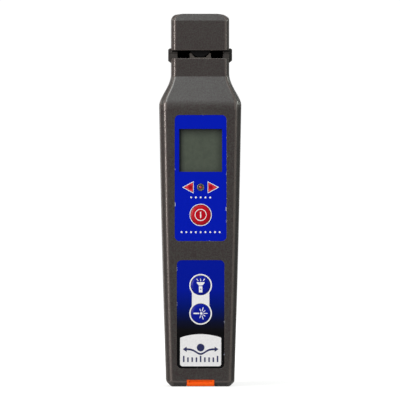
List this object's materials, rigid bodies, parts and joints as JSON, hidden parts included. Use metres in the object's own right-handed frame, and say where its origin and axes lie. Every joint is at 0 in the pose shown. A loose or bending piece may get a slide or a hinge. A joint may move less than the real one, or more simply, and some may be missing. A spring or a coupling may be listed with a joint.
{
  "type": "optical fibre identifier",
  "caption": "Hand-held tester with a sprung head that bends a fibre over detectors, a display, three press keys, a red-light fibre port under a flap, and a torch",
  "frame": {"origin": "on the foot, at the middle of the instrument's width and of its depth", "axes": "+Z from the foot to the head, -Y out of the display and keys, +X to the right seen from the display"},
  "size_m": [0.0446, 0.031, 0.2033],
  "materials": {
    "shell_plastic": "fine-textured warm grey moulded plastic with a metallic fleck",
    "printed_panel": "blue printed polyester panel",
    "display": "unlit olive-grey liquid crystal display",
    "black_plastic": "black moulded plastic",
    "red_light": "clear red light pipe",
    "steel": "nickel-plated steel",
    "dark_steel": "blackened steel",
    "red_key": "red printed key top",
    "blue_key": "blue printed key top",
    "circuit_board": "green circuit board",
    "cell_jacket": "green cell jacket",
    "brass": "turned brass",
    "ceramic": "white zirconia",
    "clear_lamp": "clear domed lamp",
    "orange_rubber": "orange moulded rubber",
    "jaw_plastic": "dark grey moulded plastic",
    "grey_plastic": "grey moulded plastic",
    "black_rubber": "black soft-touch rubber"
  },
  "bodies": {
    "root": {"front_shell": "shell_plastic", "rear_shell": "shell_plastic", "upper_panel": "printed_panel", "lower_panel": "printed_panel", "display_glass": "display", "display_frame": "black_plastic", "arrow_lights": "red_light", "status_lamp": "red_light", "status_lamp_ring": "steel", "snap_domes": "steel", "main_board": "circuit_board", "board_parts": "black_plastic", "board_screws": "steel", "cell_tray": "black_plastic", "cell_left": "cell_jacket", "cell_right": "cell_jacket", "contact_springs": "steel", "contact_plates": "steel", "laser_module": "brass", "port_barrel": "steel", "ferrule_sleeve": "ceramic", "torch_lamp": "clear_lamp", "flap_pin": "steel", "lower_jaw": "jaw_plastic", "slot_liner": "black_rubber", "saddle": "grey_plastic", "photodiodes": "black_plastic", "detector_board": "circuit_board", "shell_screws": "dark_steel", "return_spring": "steel"},
    "head": {"head_cap": "shell_plastic", "upper_jaw": "jaw_plastic", "mandrel": "black_plastic", "carriage": "jaw_plastic", "thumb_slide": "black_rubber", "slide_screw": "steel", "jaw_screws": "steel", "head_screws": "steel"},
    "power": {"power_key": "red_key"},
    "torch": {"torch_key": "blue_key"},
    "laser": {"laser_key": "blue_key"},
    "flap": {"dust_flap": "orange_rubber"},
    "door": {"battery_door": "shell_plastic"}
  },
  "joints": [
    {"name": "head_lift", "type": "slide", "parent": "root", "child": "head", "axis": [0, 0, 1], "range_m": [0, 0.005], "stiffness_N_per_m": 150, "springref_m": -0.02, "deforming": ["return_spring"]},
    {"name": "power_press", "type": "slide", "parent": "root", "child": "power", "axis": [0, 1, 0], "range_m": [0, 0.0005], "stiffness_N_per_m": 1500, "springref_m": -0.001},
    {"name": "torch_press", "type": "slide", "parent": "root", "child": "torch", "axis": [0, 1, 0], "range_m": [0, 0.0005], "stiffness_N_per_m": 1500, "springref_m": -0.001},
    {"name": "laser_press", "type": "slide", "parent": "root", "child": "laser", "axis": [0, 1, 0], "range_m": [0, 0.0005], "stiffness_N_per_m": 1500, "springref_m": -0.001},
    {"name": "flap_hinge", "type": "hinge", "parent": "root", "child": "flap", "pos_m": [0, 0.0106, 0.0019], "axis": [1, 0, 0], "range_deg": [0, 180]},
    {"name": "door_hinge", "type": "hinge", "parent": "root", "child": "door", "pos_m": [0, 0.01363, 0.0126], "axis": [-1, 0, 0], "range_deg": [0, 95]}
  ]
}
